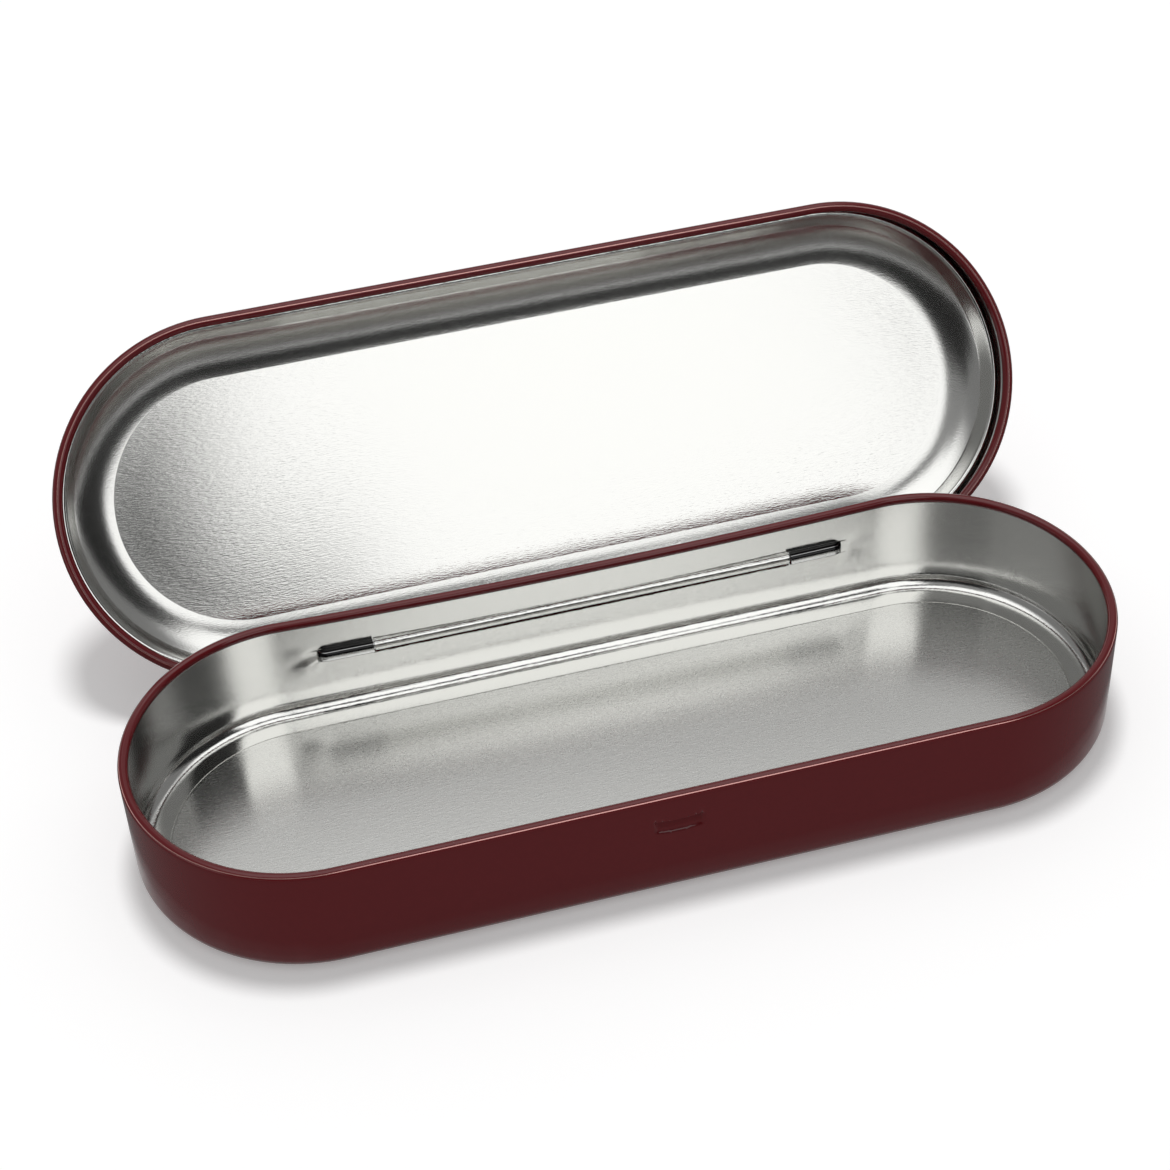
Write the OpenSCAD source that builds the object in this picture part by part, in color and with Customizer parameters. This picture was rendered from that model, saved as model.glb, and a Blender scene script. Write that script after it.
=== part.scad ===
// Hinged pencil tin with rounded ends: a deep-drawn tray, a deep-drawn lid and a steel wire pin.
// The lid's tongue passes through a window in the tray's back wall and is rolled round the pin.
// X is the length, Y points to the back, Z is up, and the tray stands on Z = 0. All sizes are in mm.

/* [Sheet] */
// Thickness of the tray's tinplate
tray_sheet = 0.3; // [0.2:0.01:0.4]
// Thickness of the lid's tinplate
lid_sheet = 0.25; // [0.2:0.01:0.4]

/* [Tray] */
// Length of the straight part of each long side
straight_l = 126; // [90:1:200]
// Width of the tray across its rim
tray_w = 68; // [50:0.5:100]
// Height of the tray to the top of its rim
tray_h = 25.3; // [18:0.1:45]
// Outside radius of the tray's rolled rim
tray_rim_r = 1; // [0.8:0.05:1.6]
// Outside radius where the wall turns into the floor
foot_r = 3.3; // [2:0.1:9]
// Width of the flat ring that the tray stands on
foot_ring = 2.7; // [1:0.1:5]
// Radius of the two bends that lift the floor off the table, at mid-sheet
floor_bend_r = 0.65; // [0.5:0.05:1.5]
// Angle of those two bends
floor_bend_a = 34; // [10:1:60]

/* [Lid] */
// Clearance between the lid's rolled rim and the tray's wall
lid_gap = 0.65; // [0.5:0.05:1.5]
// Outside radius of the lid's rolled rim
lid_rim_r = 1.05; // [0.8:0.05:1.6]
// Distance of the lid's rim below the tray's rim when closed, centre to centre
lid_overlap = 4.6; // [3.5:0.1:8]
// Straight height of the lid's skirt above the centre of its rim
skirt_h = 4.4; // [3:0.1:10]
// Radius of the bend from the skirt to the ledge that seats on the tray, at mid-sheet
skirt_bend_r = 0.75; // [0.5:0.05:1.5]
// Straight width of that ledge
ledge_w = 1.04; // [0.4:0.02:2]
// Radius of the bend from the ledge to the riser, at mid-sheet
ledge_bend_r = 0.65; // [0.5:0.05:1.5]
// Slope of the riser above the ledge
riser_a = 65; // [50:1:80]
// Straight length of the riser
riser_l = 3.12; // [1:0.02:8]
// Radius of the bend from the riser to the shoulder, at mid-sheet
riser_bend_r = 1.05; // [0.6:0.05:3]
// Radius of the broad shoulder, at mid-sheet
shoulder_r = 15.4; // [8:0.1:30]
// Slope of the shoulder at its lower edge
shoulder_a = 40; // [25:1:55]
// Slope of the shoulder at the crease round the panel
crease_a = 8; // [2:1:15]
// Radius of that crease, at mid-sheet
crease_r = 0.9; // [0.6:0.05:3]

/* [Hinge] */
// Diameter of the hinge pin
pin_d = 1.9; // [1.2:0.05:3]
// Clearance round the pin
pin_gap = 0.05; // [0.02:0.01:0.1]
// Length of the rolled knuckle on the lid
knuckle_l = 86.4; // [40:0.2:110]
// Clearance at each end of the knuckle
knuckle_gap = 0.3; // [0.2:0.05:1]
// Length of each pin pocket up to the centre of its domed end
pocket_l = 9.4; // [5:0.1:14]
// Wall of each pin pocket
pocket_wall = 0.37; // [0.3:0.01:0.6]
// Distance of the hinge axis inside the outer face of the back wall
axis_in = 0.8; // [0.6:0.05:0.9]
// Distance of the hinge axis below the centre of the tray's rim
axis_drop = 9.8; // [8:0.1:16]
// Clearance between the knuckle and the top edge of the window
window_gap = 0.2; // [0.1:0.05:0.5]
// Depth of the window below the hinge axis
window_drop = 2.5; // [2.4:0.05:4]
// Height of the tongue's ledge above the hinge axis
tongue_h = 3.7; // [3.65:0.05:5]
// Radius of the tongue's bends, at mid-sheet
tongue_bend_r = 0.5; // [0.4:0.05:1]
// Width of the relief cut at each side of the tongue
relief_w = 1; // [0.6:0.1:2]
// Height of the relief cut above the centre of the lid's rim
relief_h = 1.3; // [1.1:0.1:3]
// Turn of a rolled rim or knuckle from its first tangent to its free edge
roll_a = 300; // [270:5:320]

/* [Dent] */
// Width of the finger dent in the front wall
dent_w = 9.6; // [6:0.2:16]
// Height of the finger dent
dent_h = 3.4; // [2:0.1:5]
// Depth of the finger dent
dent_depth = 0.7; // [0.3:0.05:1.2]
// Distance of the dent below the centre of the tray's rim
dent_drop = 6.7; // [5:0.1:12]

/* [Pose] */
// Opening angle of the lid in the drawn pose
open_a = 127.6; // [0:0.2:127.6]

/* [Hidden] */
$fn = 96;

// Red lacquer of the tray and lid, and bare steel of the pin
lacquer = "#5E1E28";
steel = "#B9BCBD";

// Small overlap that makes cutters pass right through the sheet
through = 1;
end_x = straight_l / 2;

// Tray: the wall's mid-sheet position and the centre of its rolled rim
tray_wall_y = tray_w / 2 - tray_sheet / 2;
tray_rim_z = tray_h - tray_rim_r;
foot_mid_r = foot_r - tray_sheet / 2;

// Lid, closed: the skirt's mid-sheet position and the height of its rolled rim
lid_w = tray_w + 2 * (lid_gap + 2 * lid_rim_r);
skirt_y = lid_w / 2 - lid_sheet / 2;
lid_rim_z = tray_rim_z - lid_overlap;

// Hinge axis, pin, knuckle and pockets
axis_y = tray_w / 2 - axis_in;
axis_z = tray_rim_z - axis_drop;
pin_r = pin_d / 2;
bore_r = pin_r + pin_gap;
knuckle_r = bore_r + lid_sheet;
knuckle_mid_r = bore_r + lid_sheet / 2;
pocket_x = knuckle_l / 2 + knuckle_gap;
dome_x = pocket_x + pocket_l;
pocket_r = bore_r + pocket_wall;
pin_l = 2 * dome_x;
window_h = knuckle_r + window_gap + window_drop;

// Tongue: from the skirt inward under the rim, then down to the knuckle
tongue_drop = tongue_h - tongue_bend_r;
tongue_run = skirt_y - axis_y - knuckle_mid_r - 2 * tongue_bend_r;
tongue_rise = lid_rim_z + relief_h - axis_z - tongue_h - tongue_bend_r;
relief_x = knuckle_l / 2 + relief_w;

// Dent: a capsule pressed into the front wall
dent_r = (dent_h * dent_h / 4 + dent_depth * dent_depth) / (2 * dent_depth);
dent_out = dent_r - dent_depth;
dent_half = (dent_w - dent_h) / 2;
dent_z = tray_rim_z - dent_drop;

// A sheet path is a list of [length, 0] for a flat and [mid-sheet radius, turn] for a bend.
// It starts at the origin along +X. Turns to the left are positive, and none is over 180 degrees.
function heading(path, i) = i == 0 ? 0 : heading(path, i - 1) + path[i - 1][1];
function side(k) = k[1] > 0 ? 90 : -90;
function step_x(k, a) = k[1] == 0 ? k[0] * cos(a) : k[0] * (cos(a + side(k)) - cos(a + k[1] + side(k)));
function step_y(k, a) = k[1] == 0 ? k[0] * sin(a) : k[0] * (sin(a + side(k)) - sin(a + k[1] + side(k)));
function run_x(path) = sum([for (i = [0:len(path) - 1]) step_x(path[i], heading(path, i))]);
function run_y(path) = sum([for (i = [0:len(path) - 1]) step_y(path[i], heading(path, i))]);
function sum(v, i = 0) = i == len(v) ? 0 : v[i] + sum(v, i + 1);

// A roll in three equal bends
function roll(r, turn) = [for (i = [1:3]) [r, turn / 3]];

// Half plane ahead of (s = 1) or behind (s = -1) the start of a step
module half_plane(s, r) {
    translate([(s - 1) * r, -2 * r])
        square([2 * r, 4 * r]);
}

// Moves to the end of a step
module onward(k) {
    if (k[1] == 0) {
        translate([k[0], 0])
            children();
    } else {
        translate([0, sign(k[1]) * k[0]])
            rotate(k[1])
                translate([0, -sign(k[1]) * k[0]])
                    children();
    }
}

// One flat or one bend of a sheet t thick
module strip(k, t) {
    if (k[1] == 0) {
        translate([0, -t / 2])
            square([k[0], t]);
    } else {
        intersection() {
            translate([0, sign(k[1]) * k[0]])
                difference() {
                    circle(r = k[0] + t / 2);
                    circle(r = k[0] - t / 2);
                }
            half_plane(1, 2 * k[0]);
            onward(k)
                half_plane(-1, 2 * k[0]);
        }
    }
}

// The section of a folded sheet t thick, one step after the other
module folded(path, t, i = 0) {
    if (i < len(path)) {
        strip(path[i], t);
        onward(path[i])
            folded(path, t, i + 1);
    }
}

// Lays a Y-Z section along X from x0 to x1
module along_x(x0, x1) {
    translate([x0, 0, 0])
        rotate([90, 0, 90])
            linear_extrude(height = x1 - x0)
                children();
}

// Turns a half section about the centre of each half-round end
module round_ends() {
    for (a = [0, 180]) {
        rotate(a)
            translate([end_x, 0, 0])
                rotate([0, 0, -90])
                    rotate_extrude(angle = 180)
                        children();
    }
}

// Section of the tray from its centre line: raised floor, foot ring, wall and rolled rim
module tray_section() {
    outer = [
        [floor_bend_r, -floor_bend_a],
        [floor_bend_r, floor_bend_a],
        [foot_ring, 0],
        [foot_mid_r, 90]
    ];
    upper = concat([[tray_rim_z - foot_r, 0]], roll(tray_rim_r - tray_sheet / 2, roll_a));
    translate([0, foot_r - run_y(outer)])
        folded(concat([[tray_wall_y - run_x(outer), 0]], outer, upper), tray_sheet);
}

// Section of the closed lid from its centre line down to the cut edge of the relief, then the lower steps
module lid_section(lower) {
    outer = [
        [crease_r, -crease_a],
        [shoulder_r, crease_a - shoulder_a],
        [riser_bend_r, shoulder_a - riser_a],
        [riser_l, 0],
        [ledge_bend_r, riser_a],
        [ledge_w, 0],
        [skirt_bend_r, -90],
        [skirt_h - relief_h, 0]
    ];
    translate([0, lid_rim_z + relief_h - run_y(outer)])
        folded(concat([[skirt_y - run_x(outer), 0]], outer, lower), lid_sheet);
}

// Round bar along X from x0 to x1 on the hinge axis, with a domed outer end if asked
module axis_bar(x0, x1, r, domed) {
    translate([x0, axis_y, axis_z])
        rotate([0, 90, 0])
            cylinder(h = x1 - x0, r = r);
    if (domed) {
        translate([x1, axis_y, axis_z])
            sphere(r = r);
    }
}

// Both ends of the hinge, mirrored
module both_ends() {
    children();
    mirror([1, 0, 0])
        children();
}

// Capsule of the finger dent, grown outward by grow
module dent_capsule(grow) {
    translate([0, -tray_w / 2 - dent_out, dent_z]) {
        rotate([0, 90, 0])
            cylinder(h = 2 * dent_half, r = dent_r + grow, center = true);
        for (s = [-1, 1]) {
            translate([s * dent_half, 0, 0])
                sphere(r = dent_r + grow);
        }
    }
}

// Half space inside the middle of the tray's long walls
module inside_walls() {
    translate([-end_x, -tray_wall_y, foot_r])
        cube([straight_l, 2 * tray_wall_y, tray_rim_z - foot_r]);
}

// Drawn tray with its rolled rim, hinge pockets, window and finger dent
module base_tray() {
    color(lacquer)
        difference() {
            union() {
                round_ends()
                    tray_section();
                for (a = [0, 180]) {
                    rotate(a)
                        along_x(-end_x, end_x)
                            tray_section();
                }
                intersection() {
                    union() {
                        both_ends()
                            axis_bar(pocket_x, dome_x, pocket_r, true);
                        dent_capsule(tray_sheet);
                    }
                    inside_walls();
                }
            }
            both_ends()
                axis_bar(pocket_x - through, dome_x, bore_r, true);
            translate([-pocket_x, tray_w / 2 - tray_sheet - through, axis_z - window_drop])
                cube([2 * pocket_x, tray_sheet + 2 * through, window_h]);
            dent_capsule(0);
        }
}

// Lid in its closed place: rolled rim all round, but for the tongue and the relief at each side of it
module closed_lid() {
    rim = concat([[relief_h, 0]], roll(lid_rim_r - lid_sheet / 2, -roll_a));
    tongue = concat(
        [[tongue_rise, 0], [tongue_bend_r, -90], [tongue_run, 0], [tongue_bend_r, 90], [tongue_drop, 0]],
        roll(knuckle_mid_r, -roll_a)
    );
    round_ends()
        lid_section(rim);
    rotate(180)
        along_x(-end_x, end_x)
            lid_section(rim);
    both_ends() {
        along_x(relief_x, end_x)
            lid_section(rim);
        along_x(knuckle_l / 2, relief_x)
            lid_section([]);
    }
    along_x(-knuckle_l / 2, knuckle_l / 2)
        lid_section(tongue);
}

// Drawn lid with its rolled rim, seating ledge, broad shoulder and hinge tongue
module lid() {
    color(lacquer)
        translate([0, axis_y, axis_z])
            rotate([-open_a, 0, 0])
                translate([0, -axis_y, -axis_z])
                    closed_lid();
}

// Steel wire pin held in the tray's two pockets
module hinge_pin() {
    color(steel)
        axis_bar(-pin_l / 2, pin_l / 2, pin_r, false);
}

base_tray();
lid();
hinge_pin();
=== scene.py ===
import math

import bmesh
import bpy
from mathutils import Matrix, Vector, noise


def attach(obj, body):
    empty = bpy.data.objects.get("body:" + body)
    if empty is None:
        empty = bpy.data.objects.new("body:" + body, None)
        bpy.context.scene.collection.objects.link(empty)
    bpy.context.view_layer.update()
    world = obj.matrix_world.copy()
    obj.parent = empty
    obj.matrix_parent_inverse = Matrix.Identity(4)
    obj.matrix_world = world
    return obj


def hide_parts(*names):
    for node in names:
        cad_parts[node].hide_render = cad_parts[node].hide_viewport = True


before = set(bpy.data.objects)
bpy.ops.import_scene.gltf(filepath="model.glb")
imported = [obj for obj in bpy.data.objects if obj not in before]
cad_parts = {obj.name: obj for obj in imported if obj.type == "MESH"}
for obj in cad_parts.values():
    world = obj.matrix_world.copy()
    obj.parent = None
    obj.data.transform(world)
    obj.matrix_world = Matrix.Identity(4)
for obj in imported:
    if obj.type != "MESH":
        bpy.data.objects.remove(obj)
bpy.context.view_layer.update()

# Camera: a long lens in front of the tin, above it and a little to its left, that looks down into it.
# It is rolled by two degrees.
scene = bpy.context.scene
scene.view_settings.view_transform = "Standard"

camera_data = bpy.data.cameras.new("camera")
camera_data.lens = 78.99
camera_data.sensor_width = 36
camera_data.clip_end = 20
camera = bpy.data.objects.new("camera", camera_data)
camera.location = (-0.08737, -0.34006, 0.36271)
camera.rotation_euler = [math.radians(a) for a in (48.0535, 2.1219, -15.1362)]
scene.collection.objects.link(camera)
scene.camera = camera

# Table: a round of matt white card, far wider than the tin, which takes the tin's shadow.
# The camera, metal and gloss see a little glow in it, so that it comes out white round the shadow.
table_r = 4
card_glow = 0.215


def linear(code):
    """An sRGB hex colour as the linear colour that a socket takes."""
    parts = [int(code[i:i + 2], 16) / 255 for i in (1, 3, 5)]
    return tuple(c / 12.92 if c <= 0.04045 else ((c + 0.055) / 1.055) ** 2.4 for c in parts) + (1,)


def add(tree, kind, inputs=None, **settings):
    """A new node. Each input takes a value or another node's output."""
    made = tree.nodes.new(kind)
    for name, value in settings.items():
        setattr(made, name, value)
    for key, value in (inputs or {}).items():
        socket = made.inputs[key]
        if isinstance(value, bpy.types.NodeSocket):
            tree.links.new(value, socket)
        else:
            socket.default_value = value
    return made


def material(name):
    """An empty material and its node tree."""
    made = bpy.data.materials.new(name)
    made.use_nodes = True
    made.node_tree.nodes.clear()
    return made, made.node_tree


def background_ray(tree):
    """1 for a ray from the camera or off metal or through glass, and 0 for the others."""
    path = add(tree, "ShaderNodeLightPath")
    seen = add(tree, "ShaderNodeMath", {0: path.outputs["Is Camera Ray"], 1: path.outputs["Is Glossy Ray"]},
               operation="MAXIMUM")
    through = add(tree, "ShaderNodeMath", {0: seen.outputs[0], 1: path.outputs["Is Transmission Ray"]},
                  operation="MAXIMUM")
    return through.outputs[0]


bpy.ops.mesh.primitive_circle_add(vertices=128, radius=table_r, fill_type="NGON")
table = bpy.context.object
table.name = "table"
white_card, tree = material("white_card")
lift = add(tree, "ShaderNodeMath", {0: background_ray(tree), 1: card_glow}, operation="MULTIPLY")
matt = add(tree, "ShaderNodeBsdfDiffuse", {"Color": linear("#FAFAFA")})
glow = add(tree, "ShaderNodeEmission", {"Color": (1, 1, 1, 1), "Strength": lift.outputs[0]})
both = add(tree, "ShaderNodeAddShader", {0: matt.outputs[0], 1: glow.outputs[0]})
add(tree, "ShaderNodeOutputMaterial", {"Surface": both.outputs[0]})
table.data.materials.append(white_card)

# Tent: an even white room, which fills the shadows.
# The camera, metal and gloss see it brighter than it lights the tin, as pure white.
tent_fill = 0.42
tent_seen = 1.25
tent = bpy.data.worlds.new("tent")
scene.world = tent
tent.use_nodes = True
tree = tent.node_tree
tree.nodes.clear()
level = add(tree, "ShaderNodeMapRange", {
    "Value": background_ray(tree), "To Min": tent_fill, "To Max": tent_seen})
wall = add(tree, "ShaderNodeBackground", {"Color": (1, 1, 1, 1), "Strength": level.outputs[0]})
add(tree, "ShaderNodeOutputWorld", {"Surface": wall.outputs[0]})

# Softbox: a round lamp high behind the tin, which gives most of the light and the soft edge of the shadow.
# Metal and gloss don't show it. Its energy is worked out from how bright its face is.
softbox_r = 0.13
softbox_face = 43.0
lamp = bpy.data.lights.new("overhead_softbox", "AREA")
lamp.shape = "DISK"
lamp.size = 2 * softbox_r
lamp.energy = softbox_face * math.pi * math.pi * softbox_r ** 2
overhead = bpy.data.objects.new("overhead_softbox", lamp)
overhead.location = (0.03, 0.18, 1.25)
overhead.rotation_euler = (math.radians(-8), 0, 0)
overhead.visible_camera = False
overhead.visible_glossy = False
scene.collection.objects.link(overhead)

# Screens: grey cloths that stand round the tin as parts of domes, for its bright inside to mirror.
# Only metal and gloss show them. Each has a distance of its own, so that no two lie in one surface.
screen_parts = 24


def glossy_only(name, points, edge, glow):
    """A square grid of points as a sheet that only metal and gloss show. Edge fades it, from 0 to 1."""
    across = screen_parts + 1
    faces = []
    for i in range(screen_parts):
        for j in range(screen_parts):
            corner = i * across + j
            faces.append((corner, corner + across, corner + across + 1, corner + 1))
    mesh = bpy.data.meshes.new(name)
    mesh.from_pydata(points, [], faces)
    mesh.attributes.new("edge", "FLOAT", "POINT").data.foreach_set("value", edge)
    made = bpy.data.objects.new(name, mesh)
    scene.collection.objects.link(made)
    for way in ("camera", "diffuse", "shadow", "transmission"):
        setattr(made, "visible_" + way, False)
    cloth, tree = material(name)
    fade = add(tree, "ShaderNodeAttribute", attribute_name="edge")
    clear = add(tree, "ShaderNodeBsdfTransparent")
    grey = add(tree, "ShaderNodeEmission", {"Color": (1, 1, 1, 1), "Strength": glow})
    mix = add(tree, "ShaderNodeMixShader", {0: fade.outputs["Fac"], 1: clear.outputs[0], 2: grey.outputs[0]})
    add(tree, "ShaderNodeOutputMaterial", {"Surface": mix.outputs[0]})
    mesh.materials.append(cloth)


def screen(name, distance, azimuths, elevations, glow, soft):
    """A part of a dome. Azimuth 0 is in front and 90 at the right. Its edges fade over soft degrees."""
    points = []
    edge = []
    for i in range(screen_parts + 1):
        azimuth = azimuths[0] + (azimuths[1] - azimuths[0]) * i / screen_parts
        for j in range(screen_parts + 1):
            elevation = elevations[0] + (elevations[1] - elevations[0]) * j / screen_parts
            a = math.radians(azimuth)
            e = math.radians(elevation)
            out = (math.sin(a) * math.cos(e), -math.cos(a) * math.cos(e), math.sin(e))
            points.append([distance * c for c in out])
            inside = min(azimuth - azimuths[0], azimuths[1] - azimuth, elevation - elevations[0],
                         elevations[1] - elevation)
            edge.append(min(inside / soft, 1))
    glossy_only(name, points, edge, glow)


screen("hand_screen", distance=0.9, azimuths=(-30, 4), elevations=(0, 38), glow=0.02, soft=3)
screen("camera_screen", distance=0.92, azimuths=(-52, -2), elevations=(0, 44), glow=0.02, soft=3)
screen("upper_left_screen", distance=0.94, azimuths=(-60, -1), elevations=(38, 70), glow=0.25, soft=6)
screen("high_screen", distance=0.96, azimuths=(-25, 32), elevations=(60, 73), glow=0.03, soft=3)
screen("front_screen", distance=0.98, azimuths=(-60, 60), elevations=(0, 30), glow=0.03, soft=3)
screen("right_front_screen", distance=1.0, azimuths=(31, 80), elevations=(0, 66), glow=0.02, soft=2)
screen("right_screen", distance=1.02, azimuths=(70, 132), elevations=(0, 66), glow=0.2, soft=10)
screen("rear_screen", distance=1.04, azimuths=(124, 194), elevations=(15, 56), glow=0.44, soft=6)
screen("left_screen", distance=1.06, azimuths=(-172, -36), elevations=(0, 66), glow=0.2, soft=14)

# Mat: the same grey cloth on the table, close round the tray's front and ends, which keeps the lacquer dark
# near the foot. It is open behind the tin, where the lid hangs.
mat_from = 98
mat_sweep = 344
mat_width = 0.6
mat_gap = 0.0005
mat_fade = 0.004
mat_z = 0.0012
mat_end_x = 0.063
mat_inner_r = 0.034
mat_points = []
mat_edge = []
for i in range(screen_parts + 1):
    a = math.radians(mat_from + mat_sweep * i / screen_parts)
    middle = -mat_end_x if i < screen_parts / 2 else mat_end_x
    for j in range(screen_parts + 1):
        off = mat_gap + mat_width * (j / screen_parts) ** 3
        reach = mat_inner_r + off
        mat_points.append((middle + reach * math.cos(a), reach * math.sin(a), mat_z))
        mat_edge.append(min(off / mat_fade, i / 2, (screen_parts - i) / 2, 1))
glossy_only("table_mat", mat_points, mat_edge, glow=0.16)

# Tray: one pan drawn from 0.3 mm tinplate, with its rim rolled inward, a flat foot ring and a finger dent in
# front. Its back wall has a window for the lid's knuckle, between two pressed pockets that hold the pin.
# Sizes here and in the lid are in mm, to the middle of the sheet.
mm = 0.001
tray_sheet = 0.3
end_x = 63
end_parts = 64
crease_angle = 38
tray_wall = 33.85
tray_rim_z = 24.3
tray_rim_r = 0.85
floor_bend_r = 0.65
floor_bend = 34
foot_ring = 2.7
foot_r = 3.15
foot_z = 3.3
axis_y = 33.2
axis_z = 14.5
window_low = 12.0
window_high = 15.95
pocket_x = 43.5
pocket_end = 52.9
pocket_round = 1.75
pocket_r = 1.19
pocket_low = 12.9
# Where the pockets' painted reflections end, near the pockets' tips
painted_pocket_end = pocket_end + 1.6
dent_low = 15.9
dent_high = dent_low + 3.6
dent_half = 4.8
dent_droop = 0.5
dent_side = 0.7
dent_span = 5.2
back_bow = 1.4

# Red enamel, roller coated and baked on the outside of the tinplate: smooth, with faint ripples 1.2 mm wide.
# The eye sees a deep even red with sharp reflections, most of all along the rolled rims.
ripple = 0.0012
ripple_depth = 0.000001


def orange_peel(tree):
    """The ripples of baked enamel, as their height and the shading that they give."""
    where = add(tree, "ShaderNodeTexCoord")
    peel = add(tree, "ShaderNodeTexNoise", {
        "Vector": where.outputs["Object"], "Scale": 1 / ripple, "Detail": 2})
    skin = add(tree, "ShaderNodeBump", {
        "Height": peel.outputs["Fac"], "Distance": ripple_depth, "Strength": 1})
    return peel.outputs["Fac"], skin.outputs[0]


red_lacquer, tree = material("red_gloss_lacquer")
peel, skin = orange_peel(tree)
tone = add(tree, "ShaderNodeMix", {"Factor": peel, "A": linear("#5C171B"), "B": linear("#60191D")},
           data_type="RGBA")
paint = add(tree, "ShaderNodeBsdfPrincipled", {
    "Base Color": tone.outputs["Result"], "Roughness": 0.07, "Specular IOR Level": 0.5, "Normal": skin})
add(tree, "ShaderNodeOutputMaterial", {"Surface": paint.outputs[0]})

# A painted highlight: a pale pink, partly metallic band on the crest of each rolled rim, in place of the
# reflection of a bright window.
# The eye sees one thin pale line along each rolled rim.
painted_highlight_lacquer, tree = material("painted_rim_highlight")
peel, skin = orange_peel(tree)
crest = add(tree, "ShaderNodeBsdfPrincipled", {
    "Base Color": linear("#D8A29C"), "Metallic": 0.75, "Roughness": 0.2, "Normal": skin})
add(tree, "ShaderNodeOutputMaterial", {"Surface": crest.outputs[0]})

# Tinplate: cold-rolled steel with a bright tin coat and a stone finish, whose grain runs along the tin.
# The eye sees a soft mirror with ragged edges to its reflections. The real grain is about 0.1 mm wide and
# under 1 micron deep, and it is drawn wider and deeper so that it shows.
grain_l = 0.0014
grain_w = 0.00022
grain_depth = 0.000014
tinplate, tree = material("bright_tinplate")
where = add(tree, "ShaderNodeTexCoord")
grain_place = add(tree, "ShaderNodeVectorMath", {
    0: where.outputs["Object"], 1: (1 / grain_l, 1 / grain_w, 1 / grain_w)}, operation="MULTIPLY")
grain = add(tree, "ShaderNodeTexNoise", {"Vector": grain_place.outputs[0], "Scale": 1, "Detail": 2})
rough = add(tree, "ShaderNodeMapRange", {
    "Value": grain.outputs["Fac"], "From Min": 0.3, "From Max": 0.7, "To Min": 0.1, "To Max": 0.13},
    name="dullness")
stone = add(tree, "ShaderNodeBump", {"Height": grain.outputs["Fac"], "Distance": grain_depth, "Strength": 1})
tin = add(tree, "ShaderNodeBsdfPrincipled", {
    "Base Color": linear("#E7E7E4"), "Metallic": 1, "Roughness": rough.outputs[0],
    "Normal": stone.outputs[0]})
add(tree, "ShaderNodeOutputMaterial", {"Surface": tin.outputs[0]})


def duller_tinplate(name, least):
    """The same tinplate with a higher roughness, which the grain varies by 0.03."""
    made = tinplate.copy()
    made.name = name
    dullness = made.node_tree.nodes["dullness"]
    dullness.inputs["To Min"].default_value = least
    dullness.inputs["To Max"].default_value = least + 0.03
    return made


# The floor's tinplate, scuffed by pencils. The eye sees a grey sheen in place of a mirror.
worn = duller_tinplate("worn_tinplate", 0.25)

# The pockets' tinplate, stretched by the punch, with painted reflections: a ramp of greys by height paints a
# dark tube, a painted bright band along its lower half and a thin painted highlight near its top. A stripe is
# a height in the tube, from 0 to 1, and a grey.
tube_low = 0.0132
tube_high = 0.0158
painted_reflection_stripes = [
    (0, 0.05), (0.15, 0.05), (0.2, 0.9), (0.66, 0.95),
    (0.73, 0.03), (0.91, 0.03), (0.94, 0.4), (0.97, 0.03)]
pocket_painted_reflections, tree = material("pocket_tinplate_painted_reflections")
where = add(tree, "ShaderNodeTexCoord")
parts = add(tree, "ShaderNodeSeparateXYZ", {0: where.outputs["Object"]})
height = add(tree, "ShaderNodeMapRange", {
    "Value": parts.outputs["Z"], "From Min": tube_low, "From Max": tube_high})
painted_tones = add(tree, "ShaderNodeValToRGB", {"Fac": height.outputs[0]})
painted_tones.color_ramp.elements[1].color = (0.03, 0.03, 0.03, 1)
for at, grey in painted_reflection_stripes:
    stop = painted_tones.color_ramp.elements.new(at)
    stop.color = (grey, grey, grey, 1)
dark = add(tree, "ShaderNodeBsdfPrincipled", {
    "Base Color": painted_tones.outputs["Color"], "Metallic": 1, "Roughness": 0.14})
add(tree, "ShaderNodeOutputMaterial", {"Surface": dark.outputs[0]})


def line_of(steps, start):
    """Points along a folded sheet's middle. A step is (length, 0, parts) or (bend radius, turn, parts)."""
    points = [Vector(start)]
    heading = 0
    for size, bend, parts in steps:
        a = math.radians(heading)
        here = points[-1]
        if bend == 0:
            for i in range(parts):
                points.append(here + size * (i + 1) / parts * Vector((math.cos(a), math.sin(a))))
        else:
            side = math.copysign(math.pi / 2, bend)
            centre = here + size * Vector((math.cos(a + side), math.sin(a + side)))
            for i in range(parts):
                b = a - side + math.radians(bend) * (i + 1) / parts
                points.append(centre + size * Vector((math.cos(b), math.sin(b))))
        heading += bend
    return points


def spread(marks, steps):
    """Values that pass through each mark. Between two marks none is further apart than that span's step."""
    made = [marks[0]]
    for a, b, step in zip(marks, marks[1:], steps):
        parts = max(1, math.ceil(abs(b - a) / step))
        made += [a + (b - a) * (i + 1) / parts for i in range(parts)]
    return made


def stations(back, front):
    """Places round the tin: each is (x of the middle line, way out, side). Back and front are lists of x."""
    places = [(x, Vector((0, 1)), "back") for x in back]
    for i in range(1, end_parts):
        a = math.pi / 2 - math.pi * i / end_parts
        places.append((end_x, Vector((math.cos(a), math.sin(a))), "right"))
    places += [(x, Vector((0, -1)), "front") for x in front]
    for i in range(1, end_parts):
        a = -math.pi / 2 - math.pi * i / end_parts
        places.append((-end_x, Vector((math.cos(a), math.sin(a))), "left"))
    return places


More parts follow.
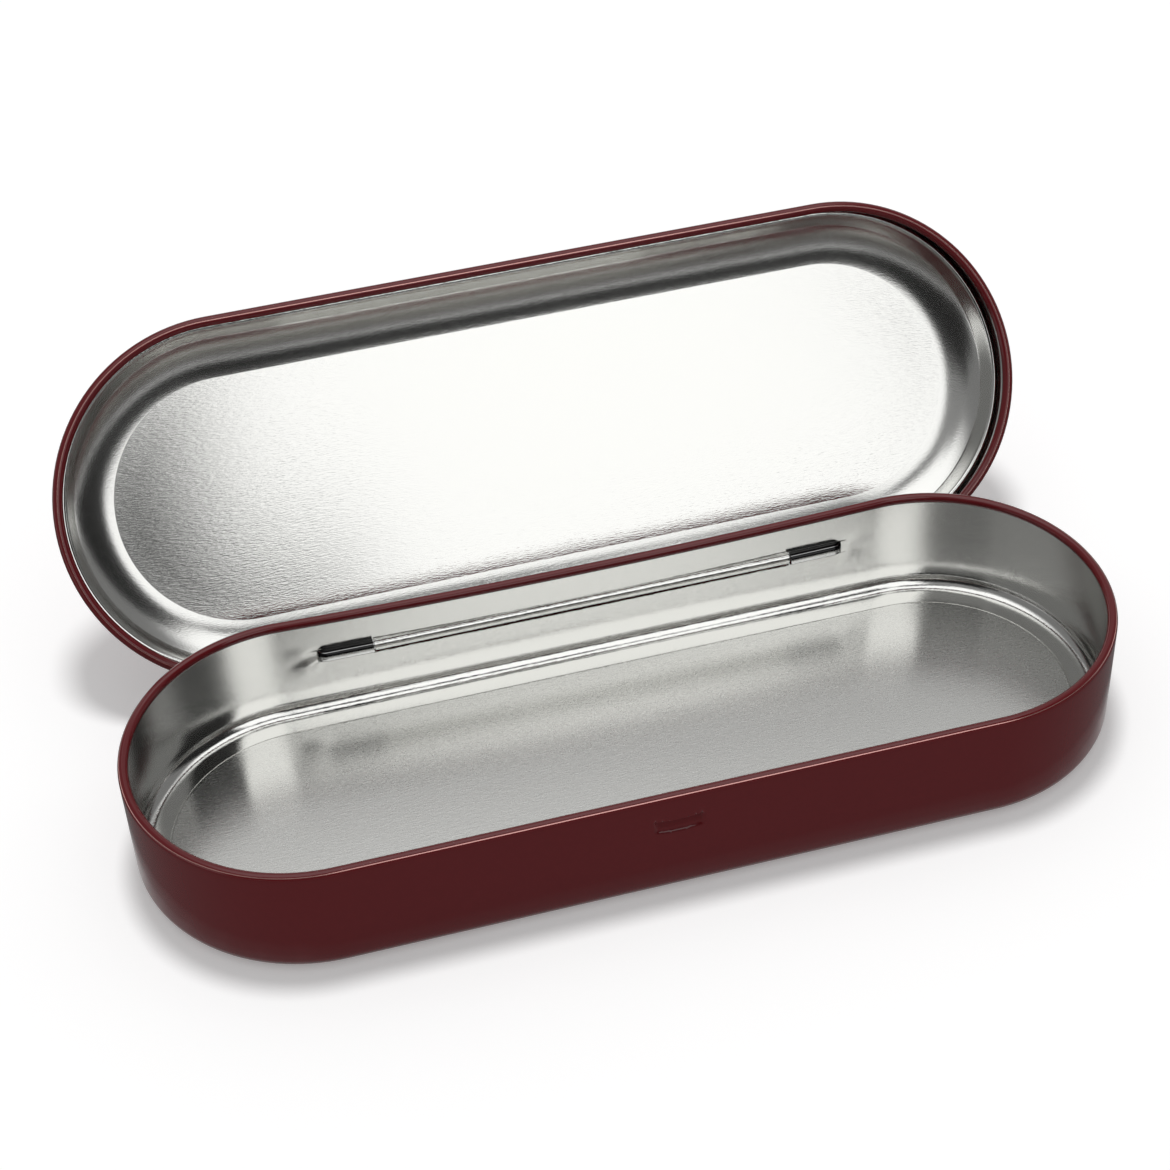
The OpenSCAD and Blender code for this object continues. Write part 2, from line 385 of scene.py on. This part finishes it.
def sheet_piece(name, points, faces, kinds, thickness, finishes):
    """A closed piece of sheet metal from its middle surface. A kind of face has an (outer, inner) finish."""
    mesh = bpy.data.meshes.new(name)
    mesh.from_pydata([tuple(c * mm for c in p) for p in points], [], faces)
    for outer, inner in finishes.values():
        mesh.materials.append(outer)
        mesh.materials.append(inner)
    slots = {kind: 2 * i for i, kind in enumerate(finishes)}
    mesh.polygons.foreach_set("material_index", [slots[kind] for kind in kinds])
    work = bmesh.new()
    work.from_mesh(mesh)
    bmesh.ops.remove_doubles(work, verts=work.verts, dist=mm / 1000)
    work.to_mesh(mesh)
    work.free()
    made = bpy.data.objects.new(name, mesh)
    scene.collection.objects.link(made)
    solid = made.modifiers.new("sheet", "SOLIDIFY")
    solid.thickness = thickness * mm
    solid.offset = 0
    solid.use_even_offset = True
    solid.material_offset = 1
    solid.material_offset_rim = 1
    full = bpy.data.meshes.new_from_object(made.evaluated_get(bpy.context.evaluated_depsgraph_get()))
    made.modifiers.clear()
    made.data = full
    full.shade_smooth()
    full.set_sharp_from_angle(angle=math.radians(crease_angle))
    return made


# The tray's section, from the middle of the floor out to the wall and up it, and then round the rolled rim.
# Its rows are close where the window, the pockets and the dent need them.
floor_parts = 4
foot = [
    (floor_bend_r, -floor_bend, 5),  # bend down from the raised floor
    (floor_bend_r, floor_bend, 5),   # bend level again
    (foot_ring, 0, 3),               # foot ring
    (foot_r, 90, 14)]                # foot radius, up into the wall
wall_step = 1.5
window_step = 0.17
dent_step = 0.13
top_step = 1.0
foot_end = line_of(foot, (0, 0))[-1]
rows = line_of([(tray_wall - foot_end.x, 0, floor_parts)] + foot, (0, foot_z - foot_end.y))
wall_row = len(rows)
rows += [Vector((tray_wall, z)) for z in spread([foot_z, window_low], [wall_step])[1:]]
window_first = len(rows) - 1
rows += [Vector((tray_wall, z)) for z in spread([window_low, window_high], [window_step])[1:]]
window_last = len(rows) - 1
top_z = spread([window_high, dent_high, tray_rim_z], [dent_step, top_step])[1:]
rows += [Vector((tray_wall, z)) for z in top_z]

# The roll turns 10 degrees in each part. The crest is its fifth, and carries the painted highlight.
roll_turn = 300
roll_parts = 30
crest_row = len(rows) + 3
roll_x = rows[-1].x - tray_rim_r
for i in range(roll_parts):
    a = math.radians(roll_turn * (i + 1) / roll_parts)
    rows.append(Vector((roll_x + tray_rim_r * math.cos(a), tray_rim_z + tray_rim_r * math.sin(a))))

# A pocket's section: up the wall, in round the pin and back to the wall, with its corners softened twice
lip = math.acos((tray_wall - axis_y) / pocket_r)
arc_parts = window_last - window_first - 3
pocket_line = [Vector((tray_wall, window_low)), Vector((tray_wall, pocket_low))]
for i in range(arc_parts + 1):
    a = -lip - (2 * math.pi - 2 * lip) * i / arc_parts
    pocket_line.append(Vector((axis_y + pocket_r * math.cos(a), axis_z + pocket_r * math.sin(a))))
pocket_line.append(Vector((tray_wall, window_high)))
last = len(pocket_line) - 1
for turn in range(2):
    softer = [p.copy() for p in pocket_line]
    for i in (1, 2, 3, last - 3, last - 2, last - 1):
        softer[i] = (pocket_line[i - 1] + 2 * pocket_line[i] + pocket_line[i + 1]) / 4
    pocket_line = softer

# The pull marks that the punch leaves in the wall beyond each pocket, deeper at the left. Each is its middle
# in x and z, how far it reaches along and across, which way it leans, and how deep it is at left and right.
pull_marks = [
    ((56.6, 12.3), (2.4, 1.1), (0.82, 0.57), (0.4, 0.15)),
    ((58, 15.5), (2.2, 1.6), (1, 0), (0.12, 0.06))]

# The dent's section: pairs of how far above its lower edge, and how deep
dent_line = [(0, 0), (0.45, 0.4), (1.3, 0.45), (2.9, 0.98), (3.3, 0)]

# The rounded ends are a little wavy, as drawn ones are, but not at the foot and the rim
wave_depth = 0.05
wave_low = 2
wave_rise = 4
wave_high = 23
wave_fall = 3
wave_around = 3.2
wave_up = 40


def back_wall(x, w, z, k):
    """A point of the back wall with its pocket, pull marks and bow."""
    if window_first <= k <= window_last and abs(x) >= pocket_x:
        past = max(abs(x) - pocket_end, 0) / pocket_round
        scale = math.sqrt(max(1 - past * past, 0))
        target = pocket_line[k - window_first]
        w += scale * (target.x - w)
        z += scale * (target.y - z)
    for middle, reach, lean, depth in pull_marks:
        along = abs(x) - middle[0]
        across = z - middle[1]
        u = lean[0] * along - lean[1] * across
        v = lean[1] * along + lean[0] * across
        w -= (depth[0] if x < 0 else depth[1]) * math.exp(-(u / reach[0]) ** 2 - (v / reach[1]) ** 2)
    rise = (z - foot_z) / (tray_rim_z - foot_z)
    w -= back_bow * min(rise, 1) * (1 - (x / end_x) ** 2)
    return w, z


def dent_depth(x, z):
    """How far the finger dent presses the front wall in. Its ends droop and fade out."""
    up = z - dent_low - dent_droop * (x / dent_half) ** 2
    deep = 0
    for (a, b), (c, d) in zip(dent_line, dent_line[1:]):
        if a <= up < c:
            deep = b + (d - b) * (up - a) / (c - a)
    return deep * min(max((dent_half - abs(x)) / dent_side, 0), 1)


def end_wave(x, out, z):
    """How far the waviness moves a rounded end's wall."""
    a = math.atan2(out.y, out.x)
    fade = min((z - wave_low) / wave_rise, 1) * min(max((wave_high - z) / wave_fall, 0), 1) * abs(out.x)
    where = Vector((wave_around * math.cos(a), wave_around * math.sin(a), z / wave_up + x))
    return wave_depth * fade * noise.noise(where)


def tray_point(place, k):
    """The point at one place round the tray and one row of its section."""
    x, out, side = place
    w, z = rows[k]
    if side == "back" and k >= wall_row:
        w, z = back_wall(x, w, z, k)
    if side == "front" and k >= wall_row:
        w -= dent_depth(x, z)
    if side in ("left", "right") and z > wave_low:
        w += end_wave(x, out, z)
    return (x + out.x * w, out.y * w, z)


def tray_kind(place, k):
    """The kind of face beyond one place and above one row."""
    x, out, side = place
    if k < floor_parts:
        return "floor"
    # The crest row gets the painted highlight.
    if k == crest_row:
        return "crest"
    # Pocket faces get the painted reflections.
    by_pocket = side == "back" and pocket_x <= abs(x) <= painted_pocket_end
    if by_pocket and window_first + 1 < k < window_last - 1:
        return "pocket"
    return "plain"


# Places are close together where a pocket or the dent shapes the wall
slack = 0.01
pocket_tip = pocket_end + pocket_round
back_x = spread([-end_x, -pocket_tip, -pocket_end, -pocket_x, pocket_x, pocket_end, pocket_tip, end_x],
                [1.5, 0.12, 0.8, 1.8, 0.8, 0.12, 1.5])
front_x = spread([end_x, dent_span, -dent_span, -end_x], [1.8, 0.25, 1.8])
places = stations(back_x, front_x)
points = [tray_point(place, k) for place in places for k in range(len(rows))]
faces = []
kinds = []
for i, place in enumerate(places):
    here = i * len(rows)
    beside = (i + 1) % len(places) * len(rows)
    in_window = place[2] == "back" and -pocket_x - slack <= place[0] < pocket_x - slack
    for k in range(len(rows) - 1):
        if in_window and window_first <= k < window_last:
            continue
        faces.append((here + k, here + k + 1, beside + k + 1, beside + k))
        kinds.append(tray_kind(place, k))
tray = sheet_piece("drawn_tray", points, faces, kinds, tray_sheet, {
    "plain": (red_lacquer, tinplate), "pocket": (red_lacquer, pocket_painted_reflections),
    "floor": (red_lacquer, worn), "crest": (painted_highlight_lacquer, tinplate)})
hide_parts("base_tray")
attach(tray, "tray")

# Lid: one pan drawn from 0.25 mm tinplate, with a flat panel, a broad shoulder, a ledge that seats on the
# tray's rim, and a skirt. Its rim is rolled inward, but at the back the sheet runs on as a tongue that is
# rolled into the knuckle round the pin.
lid_sheet = 0.25
skirt_y = 36.625
skirt_z = 21.0
lid_rim_r = 0.925
curl_slack = 0.007
rim_drop = 1.3
lid_step = 2.0
tongue_x = 43.2
relief_x = 44.2
open_turn = math.radians(127.6)

# The shoulder's tinplate, stretched by the press. The eye sees softer reflections than in the flat panel.
stretched = duller_tinplate("stretched_tinplate", 0.17)

# The lid's section when closed, from the middle of the panel down to the end of the plain skirt
panel_parts = 5
crease_parts = 4
shoulder_parts = 20
outside = [
    (0.9, -8, crease_parts),      # crease round the panel
    (15.4, -32, shoulder_parts),  # shoulder
    (1.05, -25, 6),               # bend into the riser
    (3.12, 0, 4),                 # riser
    (0.65, 65, 8),                # bend out of the riser
    (1.04, 0, 2),                 # ledge
    (0.75, -90, 9),               # bend into the skirt
    (3.1, 0, 4)]                  # skirt
outside_end = line_of(outside, (0, 0))[-1]
body = line_of([(skirt_y - outside_end.x, 0, panel_parts)] + outside, (0, skirt_z - outside_end.y))

# The rolled rim below the skirt, drawn a touch tighter than it is, to stay inside the solid's flats.
# The crest is the ninth part of the roll, and carries the painted highlight.
down = Vector((0, -1))
rim_line = [body[-1], body[-1] + down * (rim_drop / 2), body[-1] + down * rim_drop]
crest_part = len(rim_line) + 7
curl = rim_line[-1] + Vector((-lid_rim_r, 0))
for i in range(roll_parts):
    a = math.radians(-roll_turn * (i + 1) / roll_parts)
    rim_line.append(curl + (lid_rim_r - curl_slack) * Vector((math.cos(a), math.sin(a))))

# The tongue below the skirt, as steps that start downward and then turn
tongue_steps = [
    (2.3, 0, 3),          # down inside the line of the skirt
    (0.5, -90, 7),        # bend towards the tray
    (1.3, 0, 2),          # in to the tray's wall
    (0.5, 90, 7),         # bend down
    (3.2, 0, 4),          # down the outside of the wall
    (1.125, -300, 40)]    # knuckle, through the window and round the pin
tongue_line = [body[-1] + Vector((p.y, -p.x)) for p in line_of(tongue_steps, (0, 0))]

# The section's kinds of face, one for each part of a line
body_kinds = ["plain"] * panel_parts + ["shoulder"] * (crease_parts + shoulder_parts)
body_kinds += ["plain"] * (len(body) - 1 - len(body_kinds))
rim_kinds = ["plain"] * (len(rim_line) - 1)
rim_kinds[crest_part] = "crest"
tongue_kinds = ["tongue"] * (len(tongue_line) - 1)


def lid_point(place, p):
    """A point of the closed lid's section at one place, turned open round the pin."""
    x, out, side = place
    dy = out.y * p.x - axis_y
    dz = p.y - axis_z
    c = math.cos(open_turn)
    s = math.sin(open_turn)
    return (x + out.x * p.x, axis_y + dy * c + dz * s, axis_z - dy * s + dz * c)


back_x = spread([-end_x, -relief_x, -tongue_x, tongue_x, relief_x, end_x], [lid_step] * 5)
front_x = spread([end_x, -end_x], [lid_step])
places = stations(back_x, front_x)
points = []
faces = []
kinds = []


def strip(chosen, line, line_kinds):
    """Faces between neighbouring places for one line of the section."""
    first = len(points)
    for i in chosen:
        points.extend(lid_point(places[i], p) for p in line)
    for i in range(len(chosen) - 1):
        here = first + i * len(line)
        beside = here + len(line)
        for k, kind in enumerate(line_kinds):
            faces.append((here + k, beside + k, beside + k + 1, here + k + 1))
            kinds.append(kind)


all_round = list(range(len(places)))
at_back = [i for i in all_round if places[i][2] == "back"]
at_tongue = [i for i in at_back if abs(places[i][0]) <= tongue_x + slack]
right_relief = min(i for i in at_back if places[i][0] >= relief_x - slack)
left_relief = max(i for i in at_back if places[i][0] <= -relief_x + slack)
strip(all_round + [0], body, body_kinds)
strip(at_tongue, tongue_line, tongue_kinds)
strip(all_round[right_relief:] + all_round[:left_relief + 1], rim_line, rim_kinds)
lid = sheet_piece("drawn_lid", points, faces, kinds, lid_sheet, {
    "plain": (red_lacquer, tinplate), "tongue": (tinplate, tinplate),
    "shoulder": (red_lacquer, stretched), "crest": (painted_highlight_lacquer, tinplate)})
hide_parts("lid")
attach(lid, "lid")

# Pin: a straight drawn steel wire, 1.9 mm thick, that the knuckle is rolled round and the pockets hold.
# The eye sees a bright rod with fine streaks along it. The real streaks are about 0.02 mm wide, and they are
# drawn ten times as wide so that they show.
streak_l = 0.02
streak_w = 0.0002
steel_wire, tree = material("bright_steel_wire")
where = add(tree, "ShaderNodeTexCoord")
along = add(tree, "ShaderNodeVectorMath", {
    0: where.outputs["Object"], 1: (1 / streak_l, 1 / streak_w, 1 / streak_w)}, operation="MULTIPLY")
streaks = add(tree, "ShaderNodeTexNoise", {"Vector": along.outputs[0], "Scale": 1, "Detail": 2})
rough = add(tree, "ShaderNodeMapRange", {
    "Value": streaks.outputs["Fac"], "From Min": 0.3, "From Max": 0.7, "To Min": 0.18, "To Max": 0.32})
wire = add(tree, "ShaderNodeBsdfPrincipled", {
    "Base Color": linear("#C9CACB"), "Metallic": 1, "Roughness": rough.outputs[0]})
add(tree, "ShaderNodeOutputMaterial", {"Surface": wire.outputs[0]})
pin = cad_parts["hinge_pin"]
pin.data.materials.clear()
pin.data.materials.append(steel_wire)
